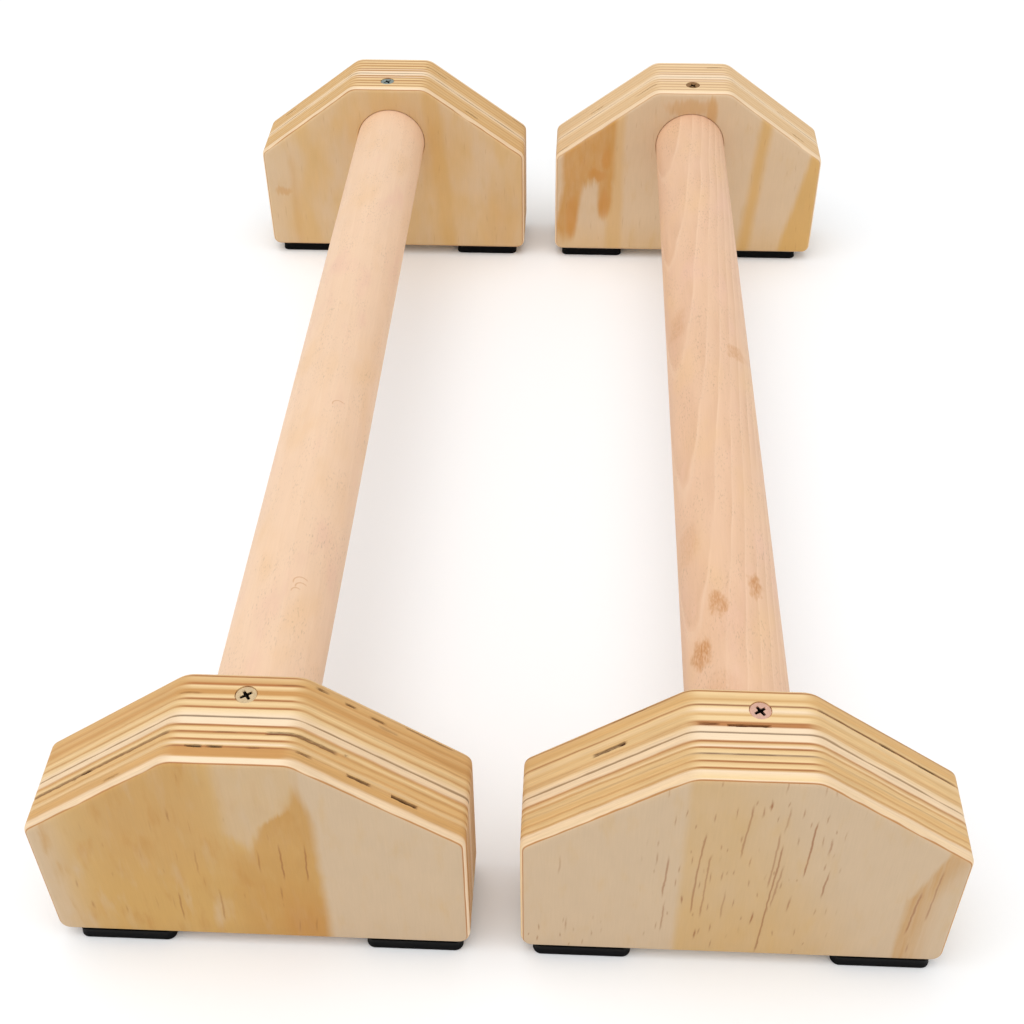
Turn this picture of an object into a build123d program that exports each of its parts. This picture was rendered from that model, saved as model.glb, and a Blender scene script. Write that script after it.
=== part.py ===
"""A pair of low wooden parallel bars, in millimetres.

Each bar is a round beech dowel between two plywood end blocks. A block is two boards glued face to
face: the inner board is bored for the dowel's end and the outer board closes the bore. One wood
screw, driven down through the inner board's top edge, pins the dowel. Two rubber pads under each
block stand the bar on the floor.

The bars run along Y, side by side in X, and Z is up. The origin is on the floor, in the middle of
the pair. Front is -Y.
"""

import os

from build123d import *

# Handle
handle_diameter = 35.0
handle_chamfer = 1.0
clear_span = 398.0  # between the inner faces of a bar's two blocks

# End blocks
board_thickness = 18.0
block_width = 140.0
block_height = 94.0
top_width = 38.0
shoulder_height = 56.5
top_corner_radius = 9.0
side_corner_radius = 4.0
face_edge_radius = 2.5  # sanded round, on the two outside faces of a block
handle_axis_height = 64.5  # above the block's underside
bore_clearance = 0.1  # on the radius
bore_mouth_chamfer = 0.4

# Feet
foot_width = 33.0
foot_depth = 33.0
foot_height = 5.0
foot_corner_radius = 3.0
foot_edge_radius = 0.5
foot_face_inset = 0.5  # behind the block's outer face

# Screws, 3.5 x 35 mm
screw_length = 35.0
head_radius = 3.4
head_rim_height = 0.4
thread_radius = 1.75
core_radius = 1.2
thread_pitch = 1.6
point_length = 4.0
recess_reach = 2.1  # of the cross, from the screw's axis
recess_floor_reach = 0.8
recess_arm_width = 0.9
recess_depth = 1.9
shank_hole_radius = 1.85
countersink_radius = 3.55
head_sink = 0.3  # below the block's top

# The pair
bar_spacing = 157.0  # between the two handles' axes

# The pads are stuck on and the screws driven by hand, so each sits a little differently.
foot_side_insets = {  # from the block's outboard and inboard sides
    ("left", "front"): {"outboard": 6.0, "inboard": 2.5},
    ("left", "rear"): {"outboard": 4.5, "inboard": 4.5},
    ("right", "front"): {"outboard": 3.0, "inboard": 4.0},
    ("right", "rear"): {"outboard": 7.0, "inboard": 4.0},
}
screw_offsets = {  # along X, from the middle of the block
    ("left", "front"): 1.5,
    ("left", "rear"): -1.0,
    ("right", "front"): 2.5,
    ("right", "rear"): 0.0,
}

handle_radius = handle_diameter / 2
bore_radius = handle_radius + bore_clearance
handle_length = clear_span + 2 * board_thickness
half_length = clear_span / 2 + 2 * board_thickness
handle_z = foot_height + handle_axis_height
block_top_z = foot_height + block_height
screw_y = half_length - 1.5 * board_thickness  # the middle of the inner board
bar_x = {"left": -bar_spacing / 2, "right": bar_spacing / 2}
outboard = {"left": -1, "right": 1}
end_sign = {"front": -1, "rear": 1}


def handle(side):
    """The dowel, with both ends chamfered and drilled for the screws' cores."""
    dowel = Pos(bar_x[side], 0, handle_z) * Rot(90, 0, 0) * Cylinder(handle_radius, handle_length)
    dowel = chamfer(dowel.edges().filter_by(GeomType.CIRCLE), handle_chamfer)
    for end in end_sign:
        dowel -= pilot_hole(side, end)
    return dowel


def pilot_hole(side, end):
    """The hole that a screw's core leaves in the dowel."""
    tip_z = block_top_z - head_sink - screw_length
    depth = handle_z + handle_radius - tip_z
    place = Pos(*screw_place(side, end), tip_z)
    return place * extrude(Circle(core_radius), depth + 1)


def board_outline():
    """The end board's face: square sides, sloping shoulders and a flat top, with eased corners."""
    half_width = block_width / 2
    half_top = top_width / 2
    corners = [
        (-half_width, 0),
        (half_width, 0),
        (half_width, shoulder_height),
        (half_top, block_height),
        (-half_top, block_height),
        (-half_width, shoulder_height),
    ]
    face = make_face(Polyline(*corners, close=True))
    top_corners = face.vertices().filter_by_position(Axis.Y, block_height - 1, block_height + 1)
    face = fillet(top_corners, top_corner_radius)
    side_corners = face.vertices().filter_by(lambda v: abs(abs(v.X) - half_width) < 0.1)
    return fillet(side_corners, side_corner_radius)


def board(side, end, layer):
    """One board of a block. Layer 0 is the inner board and 1 the outer one."""
    solid = extrude(Rot(90, 0, 0) * board_outline(), board_thickness / 2, both=True)
    middle_y = clear_span / 2 + (layer + 0.5) * board_thickness
    shown_face_side = 1 if layer else -1
    shown_y = shown_face_side * board_thickness / 2
    rim = solid.edges().filter_by_position(Axis.Y, shown_y - 0.01, shown_y + 0.01)
    solid = fillet(rim, face_edge_radius)
    turn = 0 if end == "rear" else 180
    return Pos(bar_x[side], end_sign[end] * middle_y, foot_height) * Rot(0, 0, turn) * solid


def inner_board(side, end):
    """The board that holds the dowel and the screw."""
    solid = board(side, end, 0)
    face_y = end_sign[end] * clear_span / 2
    far_y = end_sign[end] * (clear_span / 2 + board_thickness)
    solid -= bar_tube(side, face_y, far_y, bore_radius, bore_radius)
    mouth_y = face_y + end_sign[end] * bore_mouth_chamfer
    solid -= bar_tube(side, face_y, mouth_y, bore_radius + bore_mouth_chamfer, bore_radius)
    return solid - screw_clearance(side, end)


def bar_tube(side, start_y, end_y, start_radius, end_radius):
    """A round solid on the handle's axis, straight or tapered from one radius to the other."""
    profile = make_face(
        Polyline((0, start_y), (start_radius, start_y), (end_radius, end_y), (0, end_y), close=True)
    )
    return Pos(bar_x[side], 0, handle_z) * revolve(profile, Axis.Y)


def screw_place(side, end):
    """Where a screw's axis stands, seen from above."""
    return bar_x[side] + screw_offsets[side, end], end_sign[end] * screw_y


def screw_clearance(side, end):
    """The shank hole and countersink in a board's top edge."""
    rim_depth = head_sink + head_rim_height
    cone_depth = rim_depth + countersink_radius - shank_hole_radius
    hole_depth = block_top_z - handle_z
    profile = make_face(
        Polyline(
            (0, 1),
            (countersink_radius, 1),
            (countersink_radius, -rim_depth),
            (shank_hole_radius, -cone_depth),
            (shank_hole_radius, -hole_depth),
            (0, -hole_depth),
            close=True,
        )
    )
    return Pos(*screw_place(side, end), block_top_z) * Rot(90, 0, 0) * revolve(profile, Axis.Y)


def screw(side, end):
    """A countersunk wood screw, its thread drawn as closed ridges and its tip as a cone."""
    head_height = head_rim_height + head_radius - core_radius
    thread_end = screw_length - point_length
    ridges = int((thread_end - head_height) / thread_pitch)
    outline = [(0, 0), (head_radius, 0), (head_radius, -head_rim_height), (core_radius, -head_height)]
    for ridge in range(ridges):
        crest = thread_end - (ridges - ridge - 0.5) * thread_pitch
        outline.append((core_radius, -(crest - 0.35 * thread_pitch)))
        outline.append((thread_radius, -crest))
        outline.append((core_radius, -(crest + 0.35 * thread_pitch)))
    outline.append((0, -screw_length))
    body = Rot(90, 0, 0) * revolve(make_face(Polyline(*outline, close=True)), Axis.Y)
    body -= cross_recess()
    return Pos(*screw_place(side, end), block_top_z - head_sink) * body


def cross_recess():
    """The driver's recess in a screw's head: two tapered arms that cross."""
    arm_profile = Polyline(
        (-recess_reach, 0),
        (recess_reach, 0),
        (recess_floor_reach, -recess_depth),
        (-recess_floor_reach, -recess_depth),
        close=True,
    )
    arm = extrude(Rot(90, 0, 0) * make_face(arm_profile), recess_arm_width / 2, both=True)
    return (arm + Rot(0, 0, 90) * arm).moved(Rot(0, 0, 35))


def foot(side, end, place):
    """A rubber pad, flush with the block's outer face and set in from its side."""
    pad = extrude(RectangleRounded(foot_width, foot_depth, foot_corner_radius), foot_height)
    pad = fillet(pad.faces().sort_by(Axis.Z)[0].edges(), foot_edge_radius)
    toward_side = outboard[side] if place == "outboard" else -outboard[side]
    inset = foot_side_insets[side, end][place]
    x = bar_x[side] + toward_side * (block_width / 2 - inset - foot_width / 2)
    y = end_sign[end] * (half_length - foot_face_inset - foot_depth / 2)
    return Pos(x, y, 0) * pad


def parts():
    """Every piece of the pair, by name."""
    pieces = {}
    for side in bar_x:
        pieces[f"{side}_handle"] = handle(side)
        for end in end_sign:
            pieces[f"{side}_{end}_inner_board"] = inner_board(side, end)
            pieces[f"{side}_{end}_outer_board"] = board(side, end, 1)
            pieces[f"{side}_{end}_screw"] = screw(side, end)
            for place in ("outboard", "inboard"):
                pieces[f"{side}_{end}_{place}_foot"] = foot(side, end, place)
    return pieces


os.makedirs("parts", exist_ok=True)
for name, shape in parts().items():
    export_step(shape, f"parts/{name}.step")
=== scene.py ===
"""The looks of a pair of low wooden parallel bars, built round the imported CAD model.

Every CAD piece is replaced, in its own place, by a finer one: plywood boards with sanded edges, glue lines
and voids, dowels turned a little unevenly, screws with a real thread, and rubber pads.

Sizes here are millimetres, and MM turns them into Blender's metres. A board is drawn in a frame of its own.
Someone facing its shown face sees +X to the right and +Z up, and +Y goes into the wood. A place on its edge
is a distance round the edge, clockwise from the middle of the top, and a depth below the shown face.
"""

import math

import bmesh
import bpy
from mathutils import Matrix, Vector, noise
from mathutils.geometry import convex_hull_2d
from mathutils.kdtree import KDTree


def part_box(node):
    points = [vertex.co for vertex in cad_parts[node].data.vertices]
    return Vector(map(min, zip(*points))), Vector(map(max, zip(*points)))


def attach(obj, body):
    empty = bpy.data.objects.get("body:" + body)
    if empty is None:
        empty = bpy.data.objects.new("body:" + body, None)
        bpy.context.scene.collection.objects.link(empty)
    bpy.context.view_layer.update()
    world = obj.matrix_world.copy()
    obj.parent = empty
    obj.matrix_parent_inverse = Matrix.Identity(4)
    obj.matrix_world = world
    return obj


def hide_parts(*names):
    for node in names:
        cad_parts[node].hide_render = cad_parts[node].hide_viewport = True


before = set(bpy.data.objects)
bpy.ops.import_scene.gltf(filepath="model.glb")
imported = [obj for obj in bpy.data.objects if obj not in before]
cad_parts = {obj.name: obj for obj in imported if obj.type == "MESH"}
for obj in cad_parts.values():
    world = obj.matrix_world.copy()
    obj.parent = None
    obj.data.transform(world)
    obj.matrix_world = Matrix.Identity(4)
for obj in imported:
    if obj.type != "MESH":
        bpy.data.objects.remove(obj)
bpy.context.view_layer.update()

MM = 0.001
SIDES = ("left", "right")
ENDS = ("front", "rear")

# Meshes
sharp_angle = 40.0  # between faces, in degrees, above which an edge is drawn sharp
thread_sharp_angle = 35.0

# Boards
board_thickness = 18.0
face_round = 2.5  # radius of the sanded edge round a shown face
glue_side_ease = 0.3  # at the edge of the glue face
veneer = 0.5  # thickness of the face veneer
veneer_line_end = 0.68  # depth at which the glue line under the face veneer ends
glue_face_line = 17.85  # depth from which the glue between a block's boards shows
edge_step = 0.9  # between points round a board's edge
least_ring_gap = 0.03  # between a board's rings of points
usual_ring_gap = 1.0
widest_ring_gap = 1.3
groove_depth = 0.07  # at each glue line
groove_half_width = 0.14
glue_stain = 0.4  # width of the brown stain along a glue line
right_rear_paleness = 0.3  # share of cream laid over the right rear block's plies
rear_face_lift = 1.09  # how much brighter the rear blocks' shown faces are
pit_wall = 0.12  # depth over which a void's side falls away
pit_end = 1.2  # distance over which a void's end falls away

# Bore, countersink and screw, as in the CAD model, with a finer recess
bore_clearance = 0.1
bore_mouth_chamfer = 0.4
shank_hole_radius = 1.85
shank_hole_depth = 14.0  # below the block's top, which is well into the bore
countersink_radius = 3.55
screw_length = 35.0
head_radius = 3.4
head_rim_height = 0.4
head_edge_round = 0.12
head_sink = 0.3
core_radius = 1.2
thread_radius = 1.75
thread_pitch = 1.6
thread_half_width = 0.28  # in pitches
point_length = 4.0
recess_reach = 2.15
recess_depth = 1.8
recess_arm = 0.45  # half width
recess_turn = 35.0  # degrees from the block's own directions

# Dowels and pads
dowel_chamfer = 1.0
dowel_unevenness = 0.05
dowel_step = 4.0  # between points along a dowel
pad_corner_radius = 3.0
pad_edge_radius = 0.5
pad_slack = 0.02  # by which a pad stays inside the CAD one
pad_waist = 0.25  # by which the knife pulls its sides in
pad_top_ease = 0.2  # at its top edge

# Light and camera: metres and degrees, with the lens and sensor in millimetres
room_light = 0.6  # of the white that the camera sees behind the floor
camera_place = Vector((0.0225, -0.4991, 0.4437))
camera_pitch = 42.337  # below level
camera_heading = 3.247  # to the left of +Y
camera_roll = -0.740
camera_lens = 51.35
camera_sensor = 36.0


# ---- shader arithmetic


def srgb(red, green, blue):
    """A colour given as it looks on a screen, as the linear colour that a shader takes."""
    return tuple(((c / 255 + 0.055) / 1.055) ** 2.4 for c in (red, green, blue)) + (1.0,)


class Number:
    """A node's output, on which Python's arithmetic adds more nodes."""

    def __init__(self, recipe, socket):
        self.recipe = recipe
        self.socket = socket

    def __add__(self, other):
        return self.recipe.maths("ADD", self, other)

    __radd__ = __add__

    def __sub__(self, other):
        return self.recipe.maths("SUBTRACT", self, other)

    def __rsub__(self, other):
        return self.recipe.maths("SUBTRACT", other, self)

    def __mul__(self, other):
        return self.recipe.maths("MULTIPLY", self, other)

    def __truediv__(self, other):
        return self.recipe.maths("DIVIDE", self, other)

    def __abs__(self):
        return self.recipe.maths("ABSOLUTE", self)


class Recipe:
    """One material's node tree."""

    def __init__(self, name):
        self.material = bpy.data.materials.new(name)
        self.material.use_nodes = True
        self.nodes = self.material.node_tree.nodes
        self.links = self.material.node_tree.links
        self.nodes.clear()

    def fill(self, socket, value):
        if isinstance(value, Number):
            self.links.new(value.socket, socket)
        else:
            socket.default_value = value[:3] if socket.type == "VECTOR" else value

    def maths(self, operation, *values):
        node = self.nodes.new("ShaderNodeMath")
        node.operation = operation
        for socket, value in zip(node.inputs, values):
            self.fill(socket, value)
        return Number(self, node.outputs[0])

    def most(self, *values):
        result = values[0]
        for value in values[1:]:
            result = self.maths("MAXIMUM", result, value)
        return result

    def parts_of(self, vector):
        node = self.nodes.new("ShaderNodeSeparateXYZ")
        self.fill(node.inputs[0], vector)
        return tuple(Number(self, output) for output in node.outputs)

    def vector(self, x, y, z=0.0):
        node = self.nodes.new("ShaderNodeCombineXYZ")
        for socket, value in zip(node.inputs, (x, y, z)):
            self.fill(socket, value)
        return Number(self, node.outputs[0])

    def millimetres(self):
        """The place on the piece, in its own frame."""
        node = self.nodes.new("ShaderNodeTexCoord")
        x, y, z = self.parts_of(Number(self, node.outputs["Object"]))
        return x / MM, y / MM, z / MM

    def attribute(self, name):
        node = self.nodes.new("ShaderNodeAttribute")
        node.attribute_name = name
        return Number(self, node.outputs["Vector"])

    def noise(self, x, y, z=0.0, detail=2.0, roughness=0.5):
        """Smooth noise from -1 to 1 whose bumps are about one unit apart."""
        node = self.nodes.new("ShaderNodeTexNoise")
        self.fill(node.inputs["Vector"], self.vector(x, y, z))
        node.inputs["Scale"].default_value = 1.0
        node.inputs["Detail"].default_value = detail
        node.inputs["Roughness"].default_value = roughness
        return (Number(self, node.outputs[0]) - 0.5) * 2.6

    def rise(self, value, start, end):
        """0 at start and 1 at end, with a soft step between. Start may be the larger."""
        node = self.nodes.new("ShaderNodeMapRange")
        node.interpolation_type = "SMOOTHSTEP"
        self.fill(node.inputs["Value"], value)
        self.fill(node.inputs["From Min"], start)
        self.fill(node.inputs["From Max"], end)
        return Number(self, node.outputs[0])

    def mix(self, share, colour, other):
        node = self.nodes.new("ShaderNodeMix")
        node.data_type = "RGBA"
        self.fill(node.inputs[0], share)
        self.fill(node.inputs[6], colour)
        self.fill(node.inputs[7], other)
        return Number(self, node.outputs[2])

    def brighten(self, colour, factor):
        node = self.nodes.new("ShaderNodeVectorMath")
        node.operation = "SCALE"
        self.fill(node.inputs[0], colour)
        self.fill(node.inputs["Scale"], factor)
        return Number(self, node.outputs[0])

    def ramp(self, value, stops):
        """A colour that passes evenly through the stops, which are (value, colour) pairs."""
        node = self.nodes.new("ShaderNodeValToRGB")
        self.fill(node.inputs[0], value)
        ends = node.color_ramp.elements
        for element, (position, colour) in zip((ends[0], ends[1]), (stops[0], stops[-1])):
            element.position = position
            element.color = colour
        for position, colour in stops[1:-1]:
            ends.new(position).color = colour
        return Number(self, node.outputs[0])

    def strokes(self, across, along, cell, size, share, seed):
        """Short strokes along the grain, at most one in a cell, in about the given share of the cells."""
        node = self.nodes.new("ShaderNodeTexVoronoi")
        node.voronoi_dimensions = "2D"
        node.inputs["Scale"].default_value = 1.0
        place_x = across / cell[0] + seed
        place_y = along / cell[1] + seed
        self.fill(node.inputs["Vector"], self.vector(place_x, place_y))
        middle_x, middle_y, _ = self.parts_of(Number(self, node.outputs["Position"]))
        luck, length, _ = self.parts_of(Number(self, node.outputs["Color"]))
        off_x = abs(place_x - middle_x) * cell[0]
        off_y = abs(place_y - middle_y) * cell[1] / (length * 0.7 + 0.3)
        stroke = self.rise(off_x, size[0], 0.0) * self.rise(off_y, size[1], 0.0)
        return stroke * self.rise(luck, share, share * 0.6)

    def finish(self, colour, roughness, height, bump_depth, metallic=0.0, specular=0.4):
        """The shader itself. Height is in units of bump_depth, which is in millimetres."""
        bump = self.nodes.new("ShaderNodeBump")
        bump.inputs["Strength"].default_value = 1.0
        bump.inputs["Distance"].default_value = bump_depth * MM
        self.fill(bump.inputs["Height"], height)
        shader = self.nodes.new("ShaderNodeBsdfPrincipled")
        self.fill(shader.inputs["Base Color"], colour)
        self.fill(shader.inputs["Roughness"], roughness)
        shader.inputs["Metallic"].default_value = metallic
        shader.inputs["Specular IOR Level"].default_value = specular
        self.links.new(bump.outputs[0], shader.inputs["Normal"])
        output = self.nodes.new("ShaderNodeOutputMaterial")
        self.links.new(shader.outputs[0], output.inputs[0])
        return self.material


# ---- plywood colours

CREAM = srgb(242, 217, 184)
LIGHT = srgb(236, 205, 154)
STRAW = srgb(223, 187, 134)
TAN = srgb(208, 164, 108)
ORANGE = srgb(198, 146, 86)
RED_BROWN = srgb(178, 116, 64)
LINE = srgb(182, 124, 74)
DARK_LINE = srgb(148, 96, 58)
GREY_LINE = srgb(158, 134, 108)
SLOPE = srgb(214, 168, 106)
# Near black in the voids: partly the core's own stain, partly painted shade in the pits.
VOID_STAIN_AND_SHADE = srgb(66, 26, 8)

FACE_PALE = srgb(206, 179, 146)
FACE_TAN = srgb(205, 166, 107)
FACE_YELLOW = srgb(202, 158, 88)
FACE_BROWN = srgb(191, 138, 66)
FACE_ORANGE = srgb(192, 132, 60)
STROKE = srgb(146, 84, 38)

# What the edge of each board shows, as (depth, colour) from the shown face to near the glue face.
EDGES = {
    "left_front_outer": [
        (1.2, CREAM), (2.2, CREAM), (2.7, TAN), (3.1, ORANGE), (6, ORANGE), (6.5, LINE), (7, STRAW),
        (7.6, CREAM), (8.5, STRAW), (9.2, LINE), (9.8, LIGHT), (10.8, LIGHT), (11.4, TAN), (12, LINE),
        (12.6, LIGHT), (13.6, LIGHT), (14.1, TAN), (14.6, LINE), (15.2, CREAM),
    ],
    "left_front_inner": [
        (1, STRAW), (1.5, STRAW), (1.9, LINE), (2.5, STRAW), (4.2, TAN), (4.9, RED_BROWN), (5.3, RED_BROWN),
        (5.9, LIGHT), (6.8, STRAW), (7.6, ORANGE), (8.9, ORANGE), (9.5, STRAW), (10.4, LIGHT), (11.2, LINE),
        (11.8, STRAW), (12.6, LIGHT), (13.7, STRAW), (14.4, LINE), (15, LIGHT),
    ],
    "right_front_outer": [
        (1.2, LIGHT), (3.5, CREAM), (4.2, TAN), (4.6, LINE), (5.2, LIGHT), (6.5, STRAW), (7.1, LINE),
        (7.6, LIGHT), (9.2, STRAW), (9.9, GREY_LINE), (10.4, LIGHT), (11.6, STRAW), (12.1, LINE),
        (12.8, CREAM), (13.9, STRAW), (14.6, LINE), (15.3, CREAM),
    ],
    "right_front_inner": [
        (1, LIGHT), (1.4, LIGHT), (1.8, LINE), (2.5, LIGHT), (4.3, STRAW), (5.2, TAN), (5.8, STRAW),
        (6.8, LIGHT), (7.4, DARK_LINE), (8.1, LIGHT), (9.4, CREAM), (10.6, STRAW), (11.2, TAN),
        (11.9, LIGHT), (13.3, LIGHT), (14.2, LINE), (15.2, LINE), (16, CREAM),
    ],
    "plain": [
        (1.2, CREAM), (3, LIGHT), (3.8, LINE), (4.4, LIGHT), (6.2, STRAW), (6.9, LINE), (7.5, LIGHT),
        (9.3, TAN), (9.9, LINE), (10.5, LIGHT), (12.2, STRAW), (12.8, LINE), (13.4, CREAM), (14.6, TAN),
        (15.2, LINE), (15.8, CREAM),
    ],
}

# The same where the edge slopes across the grain, which blends the inner plies.
SLOPES = {
    "left_front_outer": [
        (2.8, CREAM), (3.6, TAN), (5, SLOPE), (8, STRAW), (9.5, SLOPE), (11.5, SLOPE), (12.4, TAN),
        (13.2, LIGHT), (14.6, SLOPE), (15.2, LINE), (15.8, CREAM),
    ],
    "left_front_inner": [
        (1.4, LIGHT), (2.2, TAN), (4, SLOPE), (8.5, ORANGE), (10.5, SLOPE), (12.6, LIGHT), (14.3, TAN),
        (15.2, LIGHT),
    ],
    "right_front_outer": [
        (3.4, CREAM), (4.4, TAN), (5.2, STRAW), (8.5, SLOPE), (9.6, STRAW), (11.6, STRAW), (12.4, TAN),
        (13, LIGHT), (14.5, LINE), (15.2, CREAM),
    ],
    "right_front_inner": [
        (1.2, LIGHT), (1.7, DARK_LINE), (2.4, TAN), (4.6, SLOPE), (6.9, STRAW), (7.4, LINE), (8.2, LIGHT),
        (10.5, STRAW), (14.2, STRAW), (15.6, LIGHT),
    ],
    "plain": [(2.8, CREAM), (3.8, TAN), (5, SLOPE), (9, STRAW), (13, SLOPE), (15, LIGHT)],
}

# Voids and stains in the plies: (depth, half thickness, from, to, how deep, how dark), on the board's edge.
# How dark is the stain, and in the deep voids also painted shade.
DEEP, DARK = 4, 5
MARKS = {
    "left_front_outer": [
        (6.5, 0.5, -13.5, -8, 1.4, 1), (6.5, 0.5, -6.8, -1.8, 1.2, 1), (6.5, 0.35, 5, 10, 0.3, 0.35),
        (12.1, 0.7, 10, 34, 0.4, 0.6), (12.1, 0.7, -83, -19, 0.3, 0.55), (12.1, 0.5, -60, -54, 0.9, 1),
        (6.4, 0.6, 20, 26, 0.6, 0.5), (6.2, 0.6, 38, 47, 0.9, 0.75), (6, 0.6, 54, 64, 1.5, 1),
        (12.8, 0.5, 36, 37.5, 0.8, 0.8), (4.2, 0.5, -46, -38, 0.2, 0.3), (12.1, 0.3, -6, 2, 0.2, 0.35),
    ],
    "left_front_inner": [
        (3.4, 0.5, -28, -23, 0.5, 0.7), (4, 0.5, -38, -33.5, 0.6, 0.8), (4.6, 0.5, -49, -43, 0.5, 0.7),
        (2.2, 0.35, -75, -56, 0.3, 0.45), (6.5, 0.5, -54, -46, 0.1, 0.25), (4.8, 0.3, -20, -10, 0.1, 0.35),
        (8.8, 0.4, 12, 20, 0.2, 0.3),
    ],
    "right_front_outer": [(9.9, 0.3, -7, 6, 0.2, 0.35), (9.9, 0.3, -16, -10, 0.1, 0.2)],
    "right_front_inner": [
        (15.2, 0.5, -5, 8, 1.4, 1), (14.9, 0.5, 10, 17, 0.4, 0.6), (12, 0.7, 42, 55, 0.5, 0.75),
        (12, 0.6, 42, 46, 0.9, 1), (7.4, 0.45, -80, -20, 0.3, 0.6), (7.4, 0.5, -54, -46, 0.8, 0.9),
        (7.4, 0.5, -72, -63, 0.7, 0.9), (1.8, 0.35, 34, 48, 0.2, 0.4),
    ],
    "plain": [
        (6.9, 0.5, 28, 36, 1.2, 0.9), (9.9, 0.4, -66, -52, 0.4, 0.5), (12.8, 0.4, 96, 104, 1, 0.8),
        (3.8, 0.4, -118, -108, 0.8, 0.7), (15.2, 0.4, -14, -8, 0.3, 0.4),
    ],
}


def edge_key(node):
    """A board's key in the tables."""
    name = node.replace("_board", "")
    return name if name in EDGES else "plain"


def glue_lines(key):
    """The depths of a board's glue lines."""
    return [veneer] + [depth for depth, colour in EDGES[key] if colour in (LINE, DARK_LINE, GREY_LINE)]


def seed_of(node):
    """A number of a board's own, which sets its noise apart from the other boards'."""
    return float(sum(map(ord, node)) % 97)


def edge_marks(node):
    """The board's voids and stains. Plain boards share a table, so each has it moved along."""
    key = edge_key(node)
    along = seed_of(node) - 48 if key == "plain" else 0.0
    return [
        (depth, half, start + along, end + along, *rest) for depth, half, start, end, *rest in MARKS[key]
    ]


# ---- meshes


def add(name, data):
    """A new object in the scene."""
    thing = bpy.data.objects.new(name, data)
    bpy.context.scene.collection.objects.link(thing)
    return thing


def new_piece(name, mesh, place, node):
    """A piece that stands for one CAD node and rides on its body. The CAD node is hidden."""
    piece = add(name, mesh)
    piece.matrix_world = place
    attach(piece, node.split("_")[0] + "_bar")
    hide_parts(node)


def loft(name, rings, closed=False):
    """A closed mesh through rings of equally many points, in millimetres. Open lofts get flat caps."""
    mesh = bpy.data.meshes.new(name)
    count = len(rings[0])
    points = [tuple(c * MM for c in point) for ring in rings for point in ring]
    faces = []
    spans = len(rings) if closed else len(rings) - 1
    for ring in range(spans):
        first = ring * count
        second = (ring + 1) % len(rings) * count
        for i in range(count):
            j = (i + 1) % count
            faces.append((first + i, first + j, second + j, second + i))
    if not closed:
        faces.append(tuple(range(count)))
        faces.append(tuple(range(first + count, first + 2 * count)))
    mesh.from_pydata(points, [], faces)
    build = bmesh.new()
    build.from_mesh(mesh)
    bmesh.ops.recalc_face_normals(build, faces=build.faces)
    build.to_mesh(mesh)
    build.free()
    mesh.shade_smooth()
    mesh.set_sharp_from_angle(angle=math.radians(sharp_angle))
    return mesh


def cut(mesh, cutter_mesh):
    """The mesh with the cutter's volume taken out of it."""
    solid = add("solid", mesh)
    cutter = add("cutter", cutter_mesh)
    modifier = solid.modifiers.new("cut", "BOOLEAN")
    modifier.operation = "DIFFERENCE"
    modifier.solver = "EXACT"
    modifier.object = cutter
    graph = bpy.context.evaluated_depsgraph_get()
    result = bpy.data.meshes.new_from_object(solid.evaluated_get(graph))
    result.name = mesh.name
    for thing in (solid, cutter):
        bpy.data.objects.remove(thing)
    return result


def lathe(name, profile, segments, radius_at=None):
    """A turned solid on Z. The profile is (radius, height) pairs, and radius_at may alter a radius."""
    rings = []
    for radius, height in profile:
        ring = []
        for step in range(segments):
            angle = 2 * math.pi * step / segments
            reach = radius_at(radius, angle, height) if radius_at else radius
            ring.append((reach * math.cos(angle), reach * math.sin(angle), height))
        rings.append(ring)
    return loft(name, rings)


# ---- boards


def board_place(node, layer, end):
    """The board's own frame: on its shown face, at the middle of its underside."""
    low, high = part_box(node)
    faces_front = (end == "front") == (layer == "outer")
    shown_y = low.y if faces_front else high.y
    turn = Matrix.Rotation(0 if faces_front else math.pi, 4, "Z")
    return Matrix.Translation(((low.x + high.x) / 2, shown_y, low.z)) @ turn


def board_outline(node, place):
    """Even steps round the board, as (distance, place, outward), read off the CAD board's glue face."""
    to_board = place.inverted()
    corners = []
    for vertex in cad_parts[node].data.vertices:
        point = (to_board @ vertex.co) / MM
        if abs(point.y - board_thickness) < 0.01:
            corners.append(Vector((point.x, point.z)))
    corners = [corners[i] for i in convex_hull_2d(corners)]
    top = max(corner.y for corner in corners)
    corners.append(Vector((0.0, top)))
    corners.sort(key=lambda c: math.atan2(c.x, c.y - top / 2) % (2 * math.pi))
    corners.append(corners[0])
    lengths = [(b - a).length for a, b in zip(corners, corners[1:])]
    count = round(sum(lengths) / edge_step)
    spacing = sum(lengths) / count
    points = []
    passed = 0.0
    for start, finish, length in zip(corners, corners[1:], lengths):
        while len(points) < count and len(points) * spacing < passed + length:
            points.append(start.lerp(finish, (len(points) * spacing - passed) / length))
        passed += length
    outline = []
    for i, point in enumerate(points):
        before = points[i - 1]
        after = points[(i + 1) % count]
        along = (after - before).normalized()
        distance = i * spacing if i < count / 2 else (i - count) * spacing
        outline.append((distance, (before + point * 2 + after) / 4, Vector((-along.y, along.x))))
    return outline


def mark_strength(mark, distance, depth):
    """How far a place on the edge is inside a void or stain, from 0 to 1."""
    middle, half, start, end, _, _ = mark
    ragged = 0.35 * half * noise.noise(Vector((distance / 2.5, middle, start)))
    across = (half + ragged - abs(depth - middle)) / pit_wall
    lengthwise = min(distance - start, end - distance) / pit_end
    return max(0.0, min(1.0, across, lengthwise))


def edge_inset(depth, lines):
    """How far a board's edge stands in from its full outline, from rounding and glue lines."""
    inset = 0.0
    if depth < face_round:
        inset = face_round - math.sqrt(face_round**2 - (face_round - depth) ** 2)
    for line in lines:
        inset += groove_depth * max(0.0, 1 - abs(depth - line) / groove_half_width)
    glue_side = max(0.0, depth - (board_thickness - 2 * glue_side_ease)) / (2 * glue_side_ease)
    return inset + glue_side_ease * glue_side**2


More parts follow.
